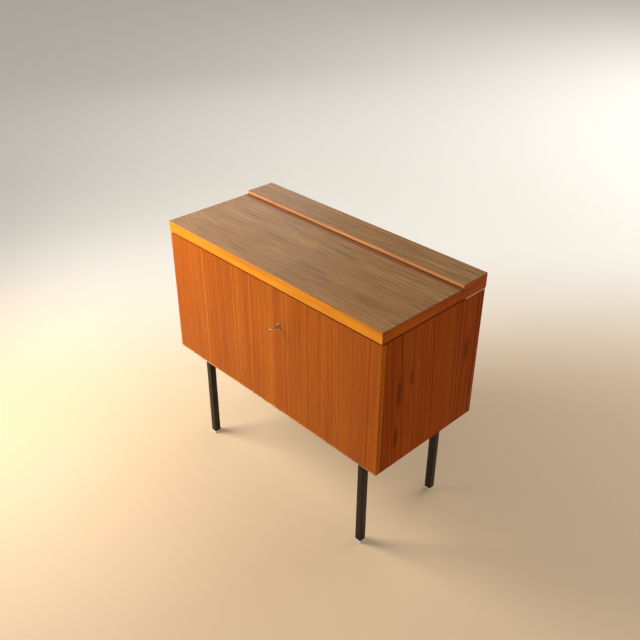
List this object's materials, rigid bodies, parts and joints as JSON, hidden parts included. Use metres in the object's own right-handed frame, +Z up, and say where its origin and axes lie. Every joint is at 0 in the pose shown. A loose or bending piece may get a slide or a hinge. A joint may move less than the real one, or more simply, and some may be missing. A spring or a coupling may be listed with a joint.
{
  "type": "sewing box with trays",
  "caption": "Free-standing sewing cabinet on slim square legs, with a hinged lid in front of a raised strip, a locking drop flap, pull-out trays and sliding tills.",
  "frame": {"origin": "on the floor, below the middle of the footprint, which includes the key standing in its lock", "axes": "+X along the width, to the right seen from the front; +Y to the back; +Z up"},
  "size_m": [0.901, 0.4626, 0.8265],
  "materials": {
    "laminate_top": "satin walnut-pattern laminate",
    "front_edge": "clear-lacquered orange lipping",
    "strip_edge": "clear-lacquered lipping",
    "side_edge": "dark red-brown stained lipping",
    "front_teak": "satin lacquered teak veneer, upright grain",
    "side_teak": "satin lacquered dark teak veneer, upright grain",
    "chipboard": "raw chipboard",
    "pale_wood": "clear-sealed pale plywood and beech",
    "packing": "raw pale packing strip",
    "hardboard": "raw hardboard",
    "leg_paint": "satin black-brown paint on steel tube",
    "white_plastic": "moulded white",
    "brass": "dulled brass",
    "brown_brass": "browned brass, lacquered dark",
    "nickel": "worn nickel plate",
    "steel": "zinc-plated steel"
  },
  "bodies": {
    "cabinet": {"strip_laminate": "laminate_top", "strip_front_lipping": "strip_edge", "strip_left_lipping": "side_edge", "strip_right_lipping": "side_edge", "left_side": "side_teak", "right_side": "side_teak", "strip_core": "chipboard", "bottom_board": "chipboard", "partition": "pale_wood", "tray_wall": "pale_wood", "bay_shelf": "pale_wood", "front_rail": "pale_wood", "hinge_rail": "pale_wood", "till_ledge_front": "pale_wood", "till_ledge_back": "pale_wood", "strip_packing_left": "packing", "strip_packing_right": "packing", "back_board": "hardboard", "leg_front_left": "leg_paint", "leg_front_right": "leg_paint", "leg_back_left": "leg_paint", "leg_back_right": "leg_paint", "frame_rail_front": "leg_paint", "frame_rail_back": "leg_paint", "frame_rail_left": "leg_paint", "frame_rail_right": "leg_paint", "glide_front_left": "white_plastic", "glide_front_right": "white_plastic", "glide_back_left": "white_plastic", "glide_back_right": "white_plastic", "floor_hinge_leaf": "brass", "strike_plate": "brass", "strip_hinge_leaf": "brown_brass", "lid_hinge_pin": "steel", "flap_hinge_pin": "steel", "stay_stud_left": "steel", "stay_stud_right": "steel"},
    "lid": {"lid_core": "chipboard", "lid_laminate": "laminate_top", "lid_front_lipping": "front_edge", "lid_left_lipping": "side_edge", "lid_right_lipping": "side_edge", "lid_hinge_leaf": "brown_brass"},
    "flap": {"flap_panel": "front_teak", "flap_hinge_leaf": "brass", "escutcheon": "nickel", "lock_case": "steel", "stay_bracket_left": "steel", "stay_bracket_right": "steel"},
    "key": {"key": "nickel"},
    "bolt": {"lock_bolt": "brass"},
    "stay_left": {"stay_left": "steel"},
    "stay_right": {"stay_right": "steel"},
    "tray_bottom": {"tray_bottom": "pale_wood"},
    "tray_middle": {"tray_middle": "pale_wood"},
    "tray_top": {"tray_top": "pale_wood"},
    "till_upper": {"till_upper": "pale_wood"},
    "till_lower": {"till_lower": "pale_wood"}
  },
  "joints": [
    {"name": "lid_hinge", "type": "hinge", "parent": "cabinet", "child": "lid", "pos_m": [0, 0.12435, 0.816], "axis": [-1, 0, 0], "range_deg": [0, 100]},
    {"name": "flap_hinge", "type": "hinge", "parent": "cabinet", "child": "flap", "pos_m": [0, -0.18925, 0.3519], "axis": [1, 0, 0], "range_deg": [0, 90]},
    {"name": "key_turn", "type": "hinge", "parent": "flap", "child": "key", "pos_m": [0.0594, -0.19125, 0.658], "axis": [0, 1, 0], "range_deg": [-36, 54]},
    {"name": "bolt_slide", "type": "slide", "parent": "flap", "child": "bolt", "axis": [-1, 0, 0], "range_m": [-0.004, 0.006]},
    {"name": "stay_left_pivot", "type": "hinge", "parent": "flap", "child": "stay_left", "pos_m": [-0.429, -0.16625, 0.541], "axis": [1, 0, 0], "range_deg": [-45, 0]},
    {"name": "stay_right_pivot", "type": "hinge", "parent": "flap", "child": "stay_right", "pos_m": [0.429, -0.16625, 0.541], "axis": [1, 0, 0], "range_deg": [-45, 0]},
    {"name": "tray_bottom_slide", "type": "slide", "parent": "cabinet", "child": "tray_bottom", "axis": [0, -1, 0], "range_m": [0, 0.06]},
    {"name": "tray_middle_slide", "type": "slide", "parent": "cabinet", "child": "tray_middle", "axis": [0, -1, 0], "range_m": [0, 0.15]},
    {"name": "tray_top_slide", "type": "slide", "parent": "cabinet", "child": "tray_top", "axis": [0, -1, 0], "range_m": [0, 0.245]},
    {"name": "till_upper_slide", "type": "slide", "parent": "cabinet", "child": "till_upper", "axis": [1, 0, 0], "range_m": [0, 0.436]},
    {"name": "till_lower_slide", "type": "slide", "parent": "cabinet", "child": "till_lower", "axis": [-1, 0, 0], "range_m": [0, 0.436]}
  ],
  "couplings": [
    {"joint": "key_turn", "follows": "bolt_slide", "rad_per_m": 157.08},
    {"joint": "stay_left_pivot", "follows": "flap_hinge", "ratio": -0.5},
    {"joint": "stay_right_pivot", "follows": "flap_hinge", "ratio": -0.5},
    {"joint": "tray_bottom_slide", "follows": "flap_hinge", "m_per_rad": 0.038197},
    {"joint": "tray_middle_slide", "follows": "flap_hinge", "m_per_rad": 0.095492},
    {"joint": "tray_top_slide", "follows": "flap_hinge", "m_per_rad": 0.15597}
  ]
}
